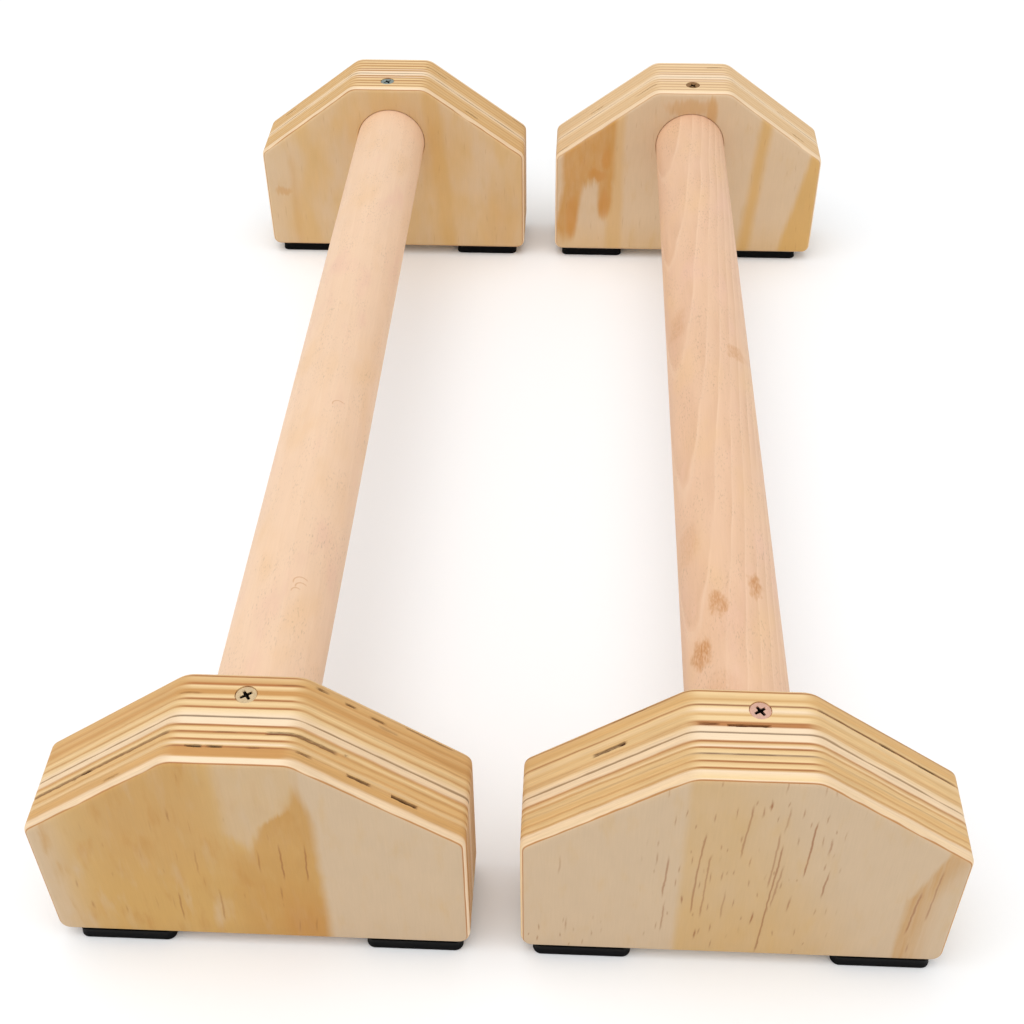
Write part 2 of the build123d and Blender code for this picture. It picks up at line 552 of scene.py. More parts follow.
def edge_depths(lines, marks):
    """The depths at which a board's edge has a ring of points."""
    depths = {face_round * (1 - math.cos(math.pi / 2 * step / 8)) for step in range(9)}
    for line in lines:
        depths |= {line - groove_half_width, line, line + groove_half_width}
    for middle, half, *_ in marks:
        for reach in (half - pit_wall, half, half + pit_wall):
            depths |= {middle - reach, middle + reach}
    depths |= {board_thickness - 2 * glue_side_ease * step / 4 for step in range(5)}
    ordered = []
    for depth in sorted(d for d in depths if 0 <= d <= board_thickness):
        while ordered and depth - ordered[-1] > widest_ring_gap:
            ordered.append(ordered[-1] + usual_ring_gap)
        if not ordered or depth - ordered[-1] > least_ring_gap:
            ordered.append(depth)
    return ordered


def board_mesh(node, outline, bore):
    """One board. Bore is (x, z, radius) of the dowel's hole in the board's own frame, or None."""
    key = edge_key(node)
    lines = glue_lines(key)
    marks = edge_marks(node)
    rings = []
    for depth in edge_depths(lines, marks):
        inset = edge_inset(depth, lines)
        ring = []
        for distance, point, outward in outline:
            pits = (mark[DEEP] * mark_strength(mark, distance, depth) for mark in marks)
            place = point - outward * (inset + max(pits, default=0.0))
            ring.append((place.x, depth, place.y))
        rings.append(ring)
    face, back = rings[0], rings[-1]
    if bore:
        mouth = bore_circle(outline, bore, bore_mouth_chamfer, 0.0)
        rings += ring_blend(back, bore_circle(outline, bore, 0.0, board_thickness), (0.35, 0.7, 1.0))
        rings += [bore_circle(outline, bore, 0.0, depth) for depth in (12.0, 6.0, bore_mouth_chamfer)]
        rings += ring_blend(mouth, face, (0.0, 0.3, 0.65))
        return loft(node, rings, closed=True)
    middle = sum((point for _, point, _ in outline), Vector((0.0, 0.0))) / len(outline)
    shares = (0.25, 0.5, 0.75, 0.97)
    inward = ring_blend(back, [(middle.x, board_thickness, middle.y)] * len(outline), shares)
    outward = ring_blend(face, [(middle.x, 0.0, middle.y)] * len(outline), shares)
    return loft(node, outward[::-1] + rings + inward)


def ring_blend(start, end, shares):
    """Rings between two rings, at the given shares of the way."""
    blends = []
    for share in shares:
        blends.append([tuple(a + (b - a) * share for a, b in zip(p, q)) for p, q in zip(start, end)])
    return blends


def bore_circle(outline, bore, widening, depth):
    """The bore's edge, with a point in the direction of each point of the outline."""
    x, z, radius = bore
    ring = []
    for _, point, _ in outline:
        direction = (point - Vector((x, z))).normalized() * (radius + widening)
        ring.append((x + direction.x, depth, z + direction.y))
    return ring


def countersink_cutter():
    """The volume of the shank hole and countersink, on Z from the board's top down."""
    rim = head_sink + head_rim_height
    profile = [
        (countersink_radius, 2.0),
        (countersink_radius, -rim),
        (shank_hole_radius, -rim - countersink_radius + shank_hole_radius),
        (shank_hole_radius, -shank_hole_depth),
    ]
    return lathe("countersink", profile, 48)


def note_edge_places(mesh, outline, marks):
    """Stores on each point its distance round the edge, how slanted the edge is there, and any mark."""
    tree = KDTree(len(outline))
    for i, (_, point, _) in enumerate(outline):
        tree.insert((point.x, point.y, 0.0), i)
    tree.balance()
    values = []
    for vertex in mesh.vertices:
        place = vertex.co / MM
        _, i, _ = tree.find((place.x, place.z, 0.0))
        distance, _, outward = outline[i]
        slant = min(1.0, 2.2 * abs(outward.x * outward.y))
        # How dark each place is: real stains, and painted shade in the voids.
        stains_and_void_shade = (mark[DARK] * mark_strength(mark, distance, place.y) for mark in marks)
        values += [distance, slant, max(stains_and_void_shade, default=0.0)]
    mesh.attributes.new("edge_place", "FLOAT_VECTOR", "POINT").data.foreach_set("vector", values)


def board(side, end, layer):
    node = f"{side}_{end}_{layer}_board"
    place = board_place(node, layer, end)
    outline = board_outline(node, place)
    bore = None
    if layer == "inner":
        low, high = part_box(f"{side}_handle")
        axis = place.inverted() @ ((low + high) / 2) / MM
        bore = (axis.x, axis.z, (high.x - low.x) / 2 / MM + bore_clearance)
    mesh = board_mesh(node, outline, bore)
    if layer == "inner":
        low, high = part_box(f"{side}_{end}_screw")
        screw_top = Vector(((low.x + high.x) / 2, (low.y + high.y) / 2, high.z + head_sink * MM))
        cutter = countersink_cutter()
        cutter.transform(Matrix.Translation(place.inverted() @ screw_top))
        mesh = cut(mesh, cutter)
        mesh.set_sharp_from_angle(angle=math.radians(sharp_angle))
    note_edge_places(mesh, outline, edge_marks(node))
    mesh.materials.clear()
    mesh.materials.append(plywood(node))
    new_piece(f"{node}_wood", mesh, place, node)


# ---- plywood material

# Below, r is a recipe, u a place's distance across a board's face and w its height.


def band(r, u, start, end, soft):
    """1 between start and end across the grain, with soft edges."""
    return r.rise(u, start - soft, start + soft) * r.rise(u, end + soft, end - soft)


def patch(r, u, w, middle, reach, soft=0.5):
    """An oval patch. Soft is how widely its edge fades, from 0 to 1."""
    across = (u - middle[0]) / reach[0]
    up = (w - middle[1]) / reach[1]
    return r.rise(across * across + up * up, 1 + soft, 1 - soft)


def strokes_at(r, u, w, lean, lines):
    """Dark strokes up the grain. Each line is (across at its foot, bottom, top, strength)."""
    marks = []
    for across, bottom, top, strength in lines:
        off = abs(u - across - (w - bottom) * lean)
        fade = min(5, (top - bottom) / 2)
        length = r.rise(w, bottom, bottom + fade) * r.rise(w, top, top - fade)
        marks.append(r.rise(off, 0.5, 0.05) * length * strength)
    return r.most(*marks)


def left_front_face(r, u, w):
    """Yellow-tan veneer with a pale notch at the top and a brown peak beside it, pale right of that."""
    colour = r.mix(r.rise(u, -72, -50), FACE_PALE, FACE_TAN)
    colour = r.mix(r.rise(w, 72, 20) * r.rise(u, -66, -44) * 0.9, colour, FACE_YELLOW)
    colour = r.mix(r.rise(r.noise(u / 5, w / 20, 1, detail=3), 0, 0.8) * 0.6, colour, FACE_BROWN)
    colour = r.mix(r.rise(r.noise(u / 5, w / 26, 9, detail=3), 0, 0.9) * 0.6, colour, FACE_PALE)
    colour = r.mix(band(r, u, -48, -8, 10) * r.rise(w, 15, 60) * 0.4, colour, FACE_BROWN)
    notch_left = r.maths("MAXIMUM", 60 - w, 0) * 0.8 - 4.5
    notch_right = (w - 51) * 0.29 + r.rise(w, 63, 73) * 6.5 + 3
    colour = r.mix(r.rise(u - notch_right, -1.5, 1.5) * r.rise(w, 40, 60) * 0.6, colour, FACE_BROWN)
    colour = r.mix(band(r, u, -6, 24, 7) * r.rise(w, 58, 42) * 0.5, colour, FACE_BROWN)
    colour = r.mix(band(r, u, 8, 26, 5) * r.rise(w, 40, 8) * 0.5, colour, FACE_ORANGE)
    notch = r.rise(u - notch_left, -3, 3) * r.rise(notch_right - u, -2.2, 2.2)
    colour = r.mix(notch * 0.6, colour, FACE_PALE)
    pale_side = 23.2 - r.rise(w, 66, 86) * 3.5
    colour = r.mix(r.rise(u - pale_side, -2.2, 2.2), colour, FACE_PALE)
    lines = [
        (4, 37, 50, 0.6), (11, 33, 57, 0.8), (18.5, 33, 55, 0.8), (-16.5, 35, 51, 0.4), (-25.5, 8, 28, 0.7),
        (-12, 9, 29, 0.5), (-21.5, 64, 74, 0.6), (-58, 25, 31, 0.5), (-55, 13, 20, 0.5), (-44, 13, 19, 0.4),
        (9, 21, 32, 0.6), (13, 3, 13, 0.5), (19, 5, 15, 0.5), (-34, 40, 50, 0.2),
    ]
    marks = strokes_at(r, u, w, 0.03, lines)
    scattered = r.strokes(u, w, (6, 15), (0.4, 5), 0.3, 3.7) * r.rise(u, 22, 18) * 0.2
    return r.mix(r.most(marks * 0.75, scattered), colour, STROKE)


def right_front_face(r, u, w):
    """Pale veneer with a tan middle, many dark strokes and a brown band near the right edge."""
    left_side = r.rise(u, -21.2, -17.6)
    cloudy = r.noise(u / 9, w / 22, 6, detail=3) * 0.25 + 0.75
    colour = r.mix(left_side * r.rise(u - (50 - w) * 0.35, 34, -4) * cloudy * 0.75, FACE_PALE, FACE_TAN)
    colour = r.mix(left_side * r.rise(w, 48, 10) * r.rise(u, 50, 10) * cloudy * 0.4, colour, FACE_YELLOW)
    strip_left = r.maths("MAXIMUM", w - 36, 0) * 0.36 + 52.5
    streaky = r.noise(u / 1.2, w / 30, 3) * 0.35 + 0.65
    strip = r.rise(u - strip_left, -0.8, 1.4) * r.rise(u - strip_left, 13, 3)
    colour = r.mix(strip * streaky * 0.8, colour, FACE_BROWN)
    stroke_lean = 0.045
    lines = [
        (-1.5, 54, 84, 0.7), (4.7, 79, 86, 1), (10.4, 67, 82, 0.5), (18.5, 45, 78, 0.9),
        (25.5, 34, 50, 0.8), (24.6, 56, 68, 0.6), (-15.4, 21, 70, 0.7), (-12.2, 21, 58, 0.6),
        (-27.4, 47, 58, 0.5), (-24.6, 34, 56, 0.7), (-24.4, 12, 32, 0.6), (-5.4, 21, 38, 0.5),
        (4.6, 16, 27, 1), (-13.1, 9, 16, 0.9), (8, 39, 70, 0.6), (7.8, 1, 62, 0.8), (10.4, 26, 53, 0.6),
        (15.7, 26, 37, 0.7), (-57.5, 43, 56, 0.4), (-55.2, 10, 20, 0.5), (55, 14, 43, 0.7),
        (60, 24, 52, 0.6), (-18.5, 28, 34, 0.8), (-8.5, 12, 20, 0.6), (57, 4, 12, 0.5),
    ]
    marks = strokes_at(r, u, w, stroke_lean, lines)
    upright = u - w * stroke_lean
    scattered = r.strokes(upright, w, (3.8, 12), (0.4, 4), 0.65, 1.3) * band(r, u, -30, 30, 6)
    corner = r.strokes(upright, w, (3.4, 7), (0.4, 2.6), 0.7, 8.1) * r.rise(u, -38, -52)
    corner = corner * r.rise(w, 24, 12)
    return r.mix(r.most(marks * 0.8, scattered * 0.5, corner * 0.6), colour, STROKE)


def left_rear_face(r, u, w):
    """Softly mottled tan veneer, with a yellower band to the right of the dowel."""
    colour = r.mix(r.rise(r.noise(u / 13, w / 34, 4), -0.7, 0.9) * 0.7 + 0.2, FACE_TAN, FACE_PALE)
    colour = r.mix(r.rise(u, -54, -66) * 0.7, colour, FACE_PALE)
    band_left = (60 - w) * 0.08 + 20.5
    colour = r.mix(band(r, u, band_left, band_left + 8, 2.5) * 0.55, colour, FACE_YELLOW)
    colour = r.mix(band(r, u, 50, 66, 6) * r.rise(w, 50, 20) * 0.2, colour, FACE_BROWN)
    colour = r.mix(patch(r, u - w * 0.3, w, (-71, 34), (4, 2.5), 0.8) * 0.4, colour, FACE_ORANGE)
    colour = r.mix(band(r, u, -56.5, -53, 2) * r.rise(w, 62, 50) * 0.25, colour, FACE_BROWN)
    colour = r.mix(r.strokes(u, w, (5, 14), (0.4, 5), 0.4, 2.2) * 0.2, colour, STROKE)
    return r.brighten(colour, rear_face_lift)


def right_rear_face(r, u, w):
    """Pale veneer with a brown corner and its two legs at the left, and yellow bands at the right."""
    cloudy = r.noise(u / 4, w / 12, 2, detail=3) * 0.2 + 0.8
    corner = band(r, u, -66, -38.5, 2) * r.rise(w, 38, 45)
    left_leg = band(r, u - (w - 34) * 0.14, -67, -56, 1.5) * r.rise(w, 2, 14) * r.rise(w, 56, 48)
    right_leg = band(r, u, -47, -39.5, 1.5) * r.rise(w, 18, 30) * r.rise(w, 56, 48)
    colour = r.mix(band(r, u, -42, -34, 2) * 0.5, FACE_PALE, FACE_YELLOW)
    colour = r.mix(r.rise(w, 24, 0) * 0.4, colour, FACE_TAN)
    colour = r.mix(r.most(corner, left_leg, right_leg) * cloudy, colour, FACE_BROWN)
    places = [((-61, 20), (3, 12)), ((-43.5, 29), (3, 8)), ((-48, 46), (5, 3)), ((-43, 56), (2.5, 6))]
    spots = [patch(r, u, w, middle, reach, 0.8) for middle, reach in places]
    colour = r.mix(r.most(*spots) * 0.6, colour, FACE_ORANGE)
    colour = r.mix(band(r, u - (w - 42) * 0.08, 33.5, 39.5, 2.5) * 0.75, colour, FACE_YELLOW)
    right_band = (w - 34) * 0.2 + 58.6
    colour = r.mix(r.rise(u - right_band, -1.5, 2.5) * 0.85, colour, FACE_YELLOW)
    above_bore = patch(r, u, w, (-1, 86), (12, 4), 0.8)
    beside_screw = patch(r, u, w, (10, 84), (3, 7), 0.8)
    colour = r.mix(r.most(above_bore * 0.4, beside_screw * 0.6), colour, FACE_BROWN)
    colour = r.mix(r.strokes(u, w, (4.5, 13), (0.4, 5), 0.4, 6.4) * 0.2, colour, STROKE)
    return r.brighten(colour, rear_face_lift)


def plain_face(r, u, w, seed):
    """A quiet cathedral figure, for the faces that look away from the front."""
    off = u - seed * 9
    figure = w / 42 - off * off / 1300 + r.noise(u / 22, w / 50, seed) * 0.45
    phase = r.maths("FRACT", figure)
    clear = r.rise(r.noise(u / 20, w / 45, seed + 5), -0.7, 0.7)
    summer = r.rise(phase, 0.1, 0.9) * r.rise(phase, 1, 0.93)
    colour = r.mix(summer * clear * 0.8, FACE_PALE, FACE_TAN)
    colour = r.mix(r.rise(r.noise(u / 14, w / 40, seed + 9, detail=3), 0, 0.8) * 0.5, colour, FACE_YELLOW)
    return r.mix(r.strokes(u, w, (5, 15), (0.4, 6), 0.45, seed + 2) * 0.35, colour, STROKE)


SHOWN_FACES = {
    "left_front_outer_board": left_front_face,
    "right_front_outer_board": right_front_face,
    "left_rear_inner_board": left_rear_face,
    "right_rear_inner_board": right_rear_face,
}
PLAIN_FACE_SEEDS = {
    "left_front_inner_board": 1,
    "right_front_inner_board": -2,
    "left_rear_outer_board": 2,
    "right_rear_outer_board": -1,
}


def ply_stops(stops, stain=0.0):
    """A ramp's stops down through a board, with each glue line drawn out over the stain's width."""
    drawn = []
    for depth, colour in stops:
        reach = stain / 2 if colour == LINE else 0.0
        drawn += [((depth + off) / board_thickness, colour) for off in sorted({-reach, reach})]
    return drawn


def ply_edge(r, node, y, distance, slant, mark, seed):
    """The plies as they come out at the edge: striped where it is square to them, softer on the slopes."""
    key = edge_key(node)
    wobble = r.noise(distance / 16, y / 4, seed) * (0.10 + slant * 0.35)
    depth = (y + wobble) / board_thickness
    skin = [(veneer, LINE), (veneer_line_end, LINE), (0.85, CREAM)]
    glue = [(17.5, CREAM), (glue_face_line, GREY_LINE)]
    straight = r.ramp(depth, ply_stops(skin) + ply_stops(EDGES[key], glue_stain) + ply_stops(glue))
    sloping = r.ramp(depth, ply_stops(skin + SLOPES[key] + glue))
    edge = r.mix(slant * 0.7, straight, sloping)

    thin = r.most(*[r.rise(abs(y + wobble - line), 0.36, 0.08) for line in glue_lines(key)[1:]])
    patches = r.rise(r.noise(distance / 11, y / 1.3, seed + 11, detail=3), -0.6, 0.6)
    edge = r.mix(thin * patches * (0.5 - slant * 0.3), edge, DARK_LINE)
    edge = r.mix(slant * 0.25, edge, SLOPE)
    if key == "plain" and "right" in node:
        edge = r.mix(right_rear_paleness, edge, CREAM)

    streaks = r.noise(distance / 20, y / 0.6, seed + 7, detail=3)
    broad = r.noise(distance / 45, y / 2.6, seed + 17)
    fibres = r.noise(distance / 5, y / 0.2, seed, detail=3, roughness=0.6)
    shade = fibres * 0.08 + streaks * (0.05 + slant * 0.10) + broad * 0.03 - slant * 0.05
    edge = r.brighten(edge, 1 + shade)
    # Voids are coloured dark: partly stain, partly painted shade in the pit.
    broken = r.rise(r.noise(distance / 2.2, y / 0.5, seed + 3, detail=3), -0.8, 0.2)
    return r.mix(mark * (broken * 0.5 + 0.5), edge, VOID_STAIN_AND_SHADE), fibres, wobble


def plywood(node):
    """Sanded plywood: the face veneer's figure, and the plies at the edge."""
    r = Recipe(f"{node}_plywood")
    seed = seed_of(node)
    x, y, z = r.millimetres()
    distance, slant, mark = r.parts_of(r.attribute("edge_place"))

    feather = r.noise(x / 1.1, z / 60, seed + 2) * 2.2
    bent_x = x + r.noise(x / 12, z / 40, seed) * 0.8 + r.noise(x / 3, z / 5, seed + 4, detail=3) * 0.35
    bent_z = z + r.noise(x / 7, z / 30, seed + 5) * 4 + feather
    if node in SHOWN_FACES:
        face = SHOWN_FACES[node](r, bent_x, bent_z)
    else:
        face = plain_face(r, bent_x, bent_z, PLAIN_FACE_SEEDS[node])
    face_grain = r.noise(x / 0.5, z / 12, seed, detail=3)
    cloud = r.noise(x / 8, z / 15, seed + 3, detail=3)
    smudge = r.rise(r.noise(x / 5, z / 16, seed + 8, detail=3), 0, 0.9)
    face = r.mix(smudge * 0.35, face, FACE_TAN)
    face = r.brighten(face, 1 + face_grain * 0.035 + cloud * 0.035)

    edge, fibres, wobble = ply_edge(r, node, y, distance, slant, mark, seed)
    at_edge = r.rise(y + wobble * 0.2, veneer - 0.05, veneer + 0.05)
    colour = r.mix(at_edge, face, edge)
    height = r.noise(x / 0.4, z / 7, seed, detail=3) * (1 - at_edge) + fibres * at_edge
    roughness = 0.62 + cloud * 0.05 + at_edge * 0.06
    return r.finish(colour, roughness, height, bump_depth=0.012, specular=0.3)


# ---- dowels

PALE_BEECH = srgb(244, 218, 192)
GOLDEN_BEECH = srgb(230, 190, 146)
ROSE_BEECH = srgb(230, 188, 164)
STAINED_BEECH = srgb(188, 122, 48)

# How the two dowels differ. Places are from a dowel's middle.
BEECH_LOOKS = {
    "left": dict(
        pith=(-70, 25), tilt=0.0004, ring_gap=5.3, ring_strength=0.14, flecks=0.2,
        base=srgb(235, 201, 170), late=srgb(222, 182, 146),
        # Curved marks left by the turning, as (across, along, radius).
        arcs=[(7.4, -145.5, 2.6), (7.8, -147.5, 2), (7, -46, 2.4), (6.4, -150, 1.6)],
    ),
    "right": dict(
        pith=(33.5, -22.6), tilt=0.0012, ring_gap=3.6, ring_strength=0.38, flecks=0.22,
        base=srgb(229, 190, 158), late=srgb(206, 160, 124),
        # Brown spots on the upper side, as (across, along, half width, half length, strength).
        spots=[
            (-6, -150, 2.9, 5.3, 0.68), (7.2, -141, 2.1, 4.5, 0.76), (-12.2, -170, 2.7, 5.3, 0.82),
            (9.4, -4, 3.6, 4.5, 0.42), (-13.5, 20, 3, 9, 0.25), (-7, -190, 5, 9, 0.2),
            (-14, -115, 3, 9, 0.22), (-5, -156, 9, 17, 0.09),
        ],
    ),
}


def dowel_mesh(name, radius, length):
    """A turned dowel, a few hundredths out of round, with chamfered ends."""
    half = length / 2
    straight = length - 2 * dowel_chamfer
    steps = round(length / dowel_step)
    heights = [-half, -half + dowel_chamfer]
    heights += [-half + dowel_chamfer + straight * i / steps for i in range(1, steps)]
    heights += [half - dowel_chamfer, half]
    profile = [(radius - dowel_chamfer if abs(h) == half else radius, h) for h in heights]

    def uneven(reach, angle, height):
        around = Vector((math.cos(angle), math.sin(angle), height / 90))
        return reach - dowel_unevenness * (0.5 + 0.5 * noise.noise(around * 1.7))

    return lathe(name, profile, 128, uneven)


def beech(name, pith, tilt, ring_gap, ring_strength, flecks, base, late, spots=(), arcs=()):
    """Sanded beech, with year rings about the pith, which moves off along the dowel by the tilt.

    Base is the wood's tone and late that of the wood grown late in a year.
    """
    r = Recipe(name)
    x, z, y = r.millimetres()  # the mesh stands on Z and is laid down along Y, with its own -Y up
    z = z * -1
    seed = pith[0]
    away = y * tilt + 1
    off_x = x + r.noise(y / 70, seed) * 0.8 - away * pith[0]
    off_z = z + r.noise(y / 55, seed + 9) * 0.8 - away * pith[1]
    from_pith = r.maths("SQRT", off_x * off_x + off_z * off_z) + r.noise(x / 8, y / 30, z / 8) * 0.4
    phase = r.maths("FRACT", from_pith / ring_gap)
    year = r.rise(phase, 0, 0.06) * r.rise(phase, 1, 0)
    pale_line = r.rise(phase, 0.88, 0.97)
    uneven = r.rise(r.noise(x / 7, y / 40, z / 7 + 8), -0.9, 0.6) * ring_strength
    colour = r.mix(year * uneven, base, late)
    colour = r.mix(pale_line * uneven * 0.6, colour, PALE_BEECH)
    cloud = r.noise(x / 12, y / 30, z / 12, detail=3)
    blush = r.noise(x / 14, y / 34, z / 14 + 5, detail=3)
    colour = r.mix(r.rise(blush, -0.1, 0.7) * 0.55, colour, GOLDEN_BEECH)
    colour = r.mix(r.rise(blush, -0.1, -0.7) * 0.55, colour, ROSE_BEECH)
    grain = r.noise(x / 0.5, y / 12, z / 0.5, detail=3)
    fleck = r.rise(r.noise(x / 0.5, y / 1.8, z / 0.5, detail=1), 0.1, 0.7)
    fleck = fleck * r.rise(r.noise(x / 8, y / 22, z / 8), -0.4, 0.5)
    sanding = r.rise(r.noise(x / 9, y / 0.5, z / 9, detail=1), 0.7, 1)
    colour = r.brighten(colour, 1 + cloud * 0.03 + grain * 0.036 - fleck * flecks - sanding * 0.04)
    upper = r.rise(z, 0, 6)
    speckle = r.rise(r.noise(x / 0.6, y / 2, z / 0.6, detail=2), -1.2, 0.7)
    bent_x = x + r.noise(x / 3, y / 6, 3) * 2
    bent_y = y + r.noise(x / 3, y / 6, 13) * 3.5
    for across, along, wide, long, strength in spots:
        spot = patch(r, bent_x, bent_y, (across, along), (wide, long), 0.95)
        colour = r.mix(spot * speckle * upper * strength, colour, STAINED_BEECH)
    for across, along, radius in arcs:
        side_x = x - across
        side_y = y - along
        off = abs(r.maths("SQRT", side_x * side_x + side_y * side_y) - radius)
        arc = r.rise(off, 0.4, 0.05) * r.rise(side_y - side_x * 0.6, 0, 1.5) * upper
        colour = r.mix(arc * 0.4, colour, STAINED_BEECH)
    height = grain - fleck * 1.5
    return r.finish(colour, 0.56 + cloud * 0.05, height, bump_depth=0.008, specular=0.35)


def dowel(side):
    node = f"{side}_handle"
    low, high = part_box(node)
    radius = (high.x - low.x) / 2 / MM
    mesh = dowel_mesh(node, radius, (high.y - low.y) / MM)
    mesh.materials.append(beech(f"{side}_beech", **BEECH_LOOKS[side]))
    place = Matrix.Translation((low + high) / 2) @ Matrix.Rotation(-math.pi / 2, 4, "X")
    new_piece(f"{node}_wood", mesh, place, node)


# ---- screws

# Painted shade for the screw's cross recess and the rim sunk in the countersink.
RECESS_PAINTED_SHADE = srgb(30, 24, 20)
# Each screw head's tint: partly the zinc's own grey, partly painted reflection of the wood round it.
ZINC_TINTS_WITH_PAINTED_REFLECTION = {
    ("left", "front"): srgb(230, 203, 162),
    ("left", "rear"): srgb(160, 172, 168),
    ("right", "front"): srgb(238, 193, 172),
    ("right", "rear"): srgb(170, 128, 82),
}


def screw_mesh(name):
    """A countersunk wood screw, head up at height 0, with a helical thread and a cross recess."""
    cone_bottom = -head_rim_height - (head_radius - core_radius)
    profile = [
        (0.4, 0.0), (2.6, 0.0), (head_radius - head_edge_round, -0.01), (head_radius, -head_edge_round),
        (head_radius, -head_rim_height), (core_radius, cone_bottom),
    ]
    thread_step = thread_pitch / 12
    height = cone_bottom - thread_step
    while height > -screw_length + point_length:
        profile.append((core_radius, height))
        height -= thread_step
    for step in range(1, 17):
        share = step / 17
        profile.append((core_radius * (1 - share), -screw_length + point_length * (1 - share)))
    profile.append((0.02, -screw_length))

    def threaded(radius, angle, height):
        if height > cone_bottom - thread_pitch or radius < 0.1:
            return radius
        phase = (height / thread_pitch - angle / (2 * math.pi)) % 1.0
        ridge = max(0.0, 1 - abs(phase - 0.5) / thread_half_width)
        return radius + (thread_radius - core_radius) * ridge * radius / core_radius

    solid = lathe(name, profile, 48, threaded)
    return cut(solid, recess_cutter())


def recess_cutter():
    """The cross recess: a star that narrows to a blunt point, turned a little."""
    star = [(recess_reach, -recess_arm), (recess_reach, recess_arm), (recess_arm * 1.3, recess_arm * 1.3)]
    rings = []
    for share, height in ((1.04, 0.2), (1.0, 0.0), (0.75, -0.9), (0.45, -1.6), (0.2, -recess_depth)):
        ring = []
        for quarter in range(4):
            turn = Matrix.Rotation(quarter * math.pi / 2 + math.radians(recess_turn), 2)
            for x, y in star:
                if x == recess_reach:
                    x = max(x * share, recess_arm)
                    y = y * (0.6 + 0.4 * share)
                else:
                    x, y = x * share, y * share
                point = turn @ Vector((x, y))
                ring.append((point.x, point.y, height))
        rings.append(ring)
    return loft("recess", rings)


def zinc(name, tint_with_painted_reflection):
    """Zinc plate: bright metal, a little cloudy and finely scratched, tinted in part by painted reflection,
    with painted shade in the recess and on the sunk rim.
    """
    r = Recipe(name)
    x, y, z = r.millimetres()
    cloud = r.noise(x / 1.2, y / 1.2, z / 1.2, detail=4)
    scratch = r.noise(x / 0.08, y / 1.4, z / 0.5, detail=2)
    colour = r.brighten(tint_with_painted_reflection, 1 + cloud * 0.08)
    # Painted shade: darker below the head's top, in the recess and on the sunk rim.
    colour = r.mix(r.rise(z, -0.15, -0.6), colour, RECESS_PAINTED_SHADE)
    height = scratch + cloud
    return r.finish(colour, 0.42 + cloud * 0.1, height, bump_depth=0.01, metallic=0.85, specular=0.5)


def screw(side, end):
    node = f"{side}_{end}_screw"
    low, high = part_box(node)
    mesh = screw_mesh(node)
    mesh.materials.clear()
    mesh.materials.append(zinc(f"{node}_zinc", ZINC_TINTS_WITH_PAINTED_REFLECTION[side, end]))
    mesh.set_sharp_from_angle(angle=math.radians(thread_sharp_angle))
    place = Matrix.Translation(((low.x + high.x) / 2, (low.y + high.y) / 2, high.z))
    new_piece(f"{node}_metal", mesh, place, node)


# ---- pads


def pad_ring(width, depth, inset, height):
    """A rounded rectangle, set in all round."""
    ring = []
    radius = pad_corner_radius
    for corner, (sx, sy) in enumerate(((1, 1), (-1, 1), (-1, -1), (1, -1))):
        centre_x = sx * (width / 2 - radius)
        centre_y = sy * (depth / 2 - radius)
        for step in range(9):
            angle = math.pi / 2 * (corner + step / 8)
            reach = radius - inset
            ring.append((centre_x + reach * math.cos(angle), centre_y + reach * math.sin(angle), height))
    return ring


def pad_mesh(name, width, depth, height):
    """A pad cut from rubber sheet: sides pulled in a little by the knife, with softened edges."""
    levels = []
    for step in range(6):
        angle = math.pi / 2 * step / 5
        inset = pad_slack + pad_edge_radius * (1 - math.sin(angle))
        levels.append((inset, pad_edge_radius * (1 - math.cos(angle))))
    for step in range(1, 8):
        share = step / 8
        level = pad_edge_radius + (height - pad_top_ease - pad_edge_radius) * share
        levels.append((pad_slack + pad_waist * math.sin(math.pi * share), level))
    levels += [(0.05, height - 0.15), (pad_top_ease, height)]
    return loft(name, [pad_ring(width, depth, inset, level) for inset, level in levels])


def rubber():
    """Black rubber with a fine moulded grain and a little dust."""
    r = Recipe("pad_rubber")
    x, y, z = r.millimetres()
    grain = r.noise(x / 0.35, y / 0.35, z / 0.35, detail=3)
    dust = r.rise(r.noise(x / 5, y / 5, z / 3, detail=4), 0.2, 1)
    colour = r.mix(dust * 0.3, srgb(5, 5, 6), srgb(17, 17, 18))
    return r.finish(colour, 0.62 + dust * 0.15, grain, bump_depth=0.03, specular=0.08)


def pad(side, end, place, material):
    node = f"{side}_{end}_{place}_foot"
    low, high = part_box(node)
    width, depth, height = (high - low) / MM
    mesh = pad_mesh(node, width, depth, height)
    mesh.materials.append(material)
    middle = Matrix.Translation(((low.x + high.x) / 2, (low.y + high.y) / 2, low.z))
    new_piece(f"{node}_pad", mesh, middle, node)


# ---- studio


def floor():
    """A plain pale floor, far larger than the view."""
    half = 12
    mesh = bpy.data.meshes.new("floor")
    corners = [(-half, -half, 0), (half, -half, 0), (half, half, 0), (-half, half, 0)]
    mesh.from_pydata(corners, [], [(0, 1, 2, 3)])
    r = Recipe("floor_paint")
    x, y, _ = r.millimetres()
    grain = r.noise(x / 3, y / 3, detail=3)
    paint = r.brighten(srgb(250, 252, 254), 1 + grain * 0.003)
    mesh.materials.append(r.finish(paint, 0.9, grain, bump_depth=0.01, specular=0.1))
    ground = add("floor", mesh)


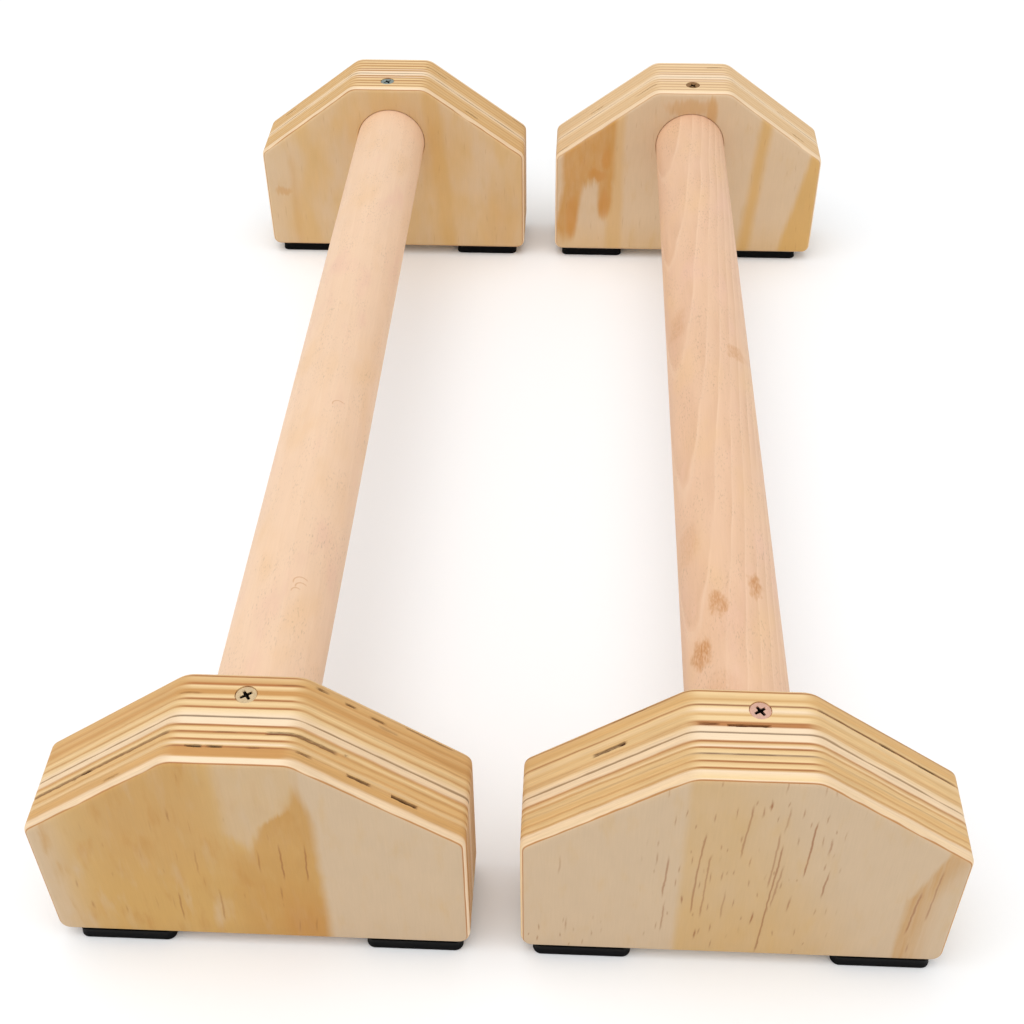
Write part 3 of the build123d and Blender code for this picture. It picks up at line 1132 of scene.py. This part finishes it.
def soft_light(name, place, aim, size, power):
    light = bpy.data.lights.new(name, "AREA")
    light.shape = "SQUARE"
    light.size = size
    light.energy = power
    lamp = add(name, light)
    lamp.location = place
    lamp.rotation_euler = (Vector(aim) - Vector(place)).to_track_quat("-Z", "Y").to_euler()


def surroundings():
    """An even white room. It lights softly, and looks pure white behind the floor."""
    world = bpy.data.worlds.new("studio")
    bpy.context.scene.world = world
    world.use_nodes = True
    nodes, links = world.node_tree.nodes, world.node_tree.links
    background = nodes["Background"]
    background.inputs["Color"].default_value = (1, 1, 1, 1)
    path = nodes.new("ShaderNodeLightPath")
    strength = nodes.new("ShaderNodeMapRange")
    strength.inputs["To Min"].default_value = room_light
    links.new(path.outputs["Is Camera Ray"], strength.inputs["Value"])
    links.new(strength.outputs[0], background.inputs["Strength"])


def camera():
    pitch, heading, roll = (math.radians(a) for a in (camera_pitch, camera_heading, camera_roll))
    level = math.cos(pitch)
    ahead = Vector((-math.sin(heading) * level, math.cos(heading) * level, -math.sin(pitch)))
    right = ahead.cross(Vector((0, 0, 1))).normalized()
    up = right.cross(ahead)
    turned_right = right * math.cos(roll) + up * math.sin(roll)
    turned_up = up * math.cos(roll) - right * math.sin(roll)
    data = bpy.data.cameras.new("camera")
    data.lens = camera_lens
    data.sensor_width = camera_sensor
    data.clip_start = 0.01
    turn = Matrix((turned_right, turned_up, -ahead)).transposed().to_4x4()
    body = add("camera", data)
    body.matrix_world = Matrix.Translation(camera_place) @ turn
    bpy.context.scene.camera = body


def build():
    pad_rubber = rubber()
    for side in SIDES:
        dowel(side)
        for end in ENDS:
            board(side, end, "inner")
            board(side, end, "outer")
            screw(side, end)
            for place in ("outboard", "inboard"):
                pad(side, end, place, pad_rubber)
    floor()
    surroundings()
    soft_light("key", place=(-0.6, -0.8, 4.6), aim=(0, 0, 0), size=4.8, power=124.0)
    for name, side in (("left_fill", -1), ("right_fill", 1)):
        soft_light(name, place=(side * 1.9, -0.6, 0.9), aim=(0, 0, 0.05), size=1.2, power=7.0)
    bpy.context.scene.view_settings.view_transform = "Standard"
    camera()


build()
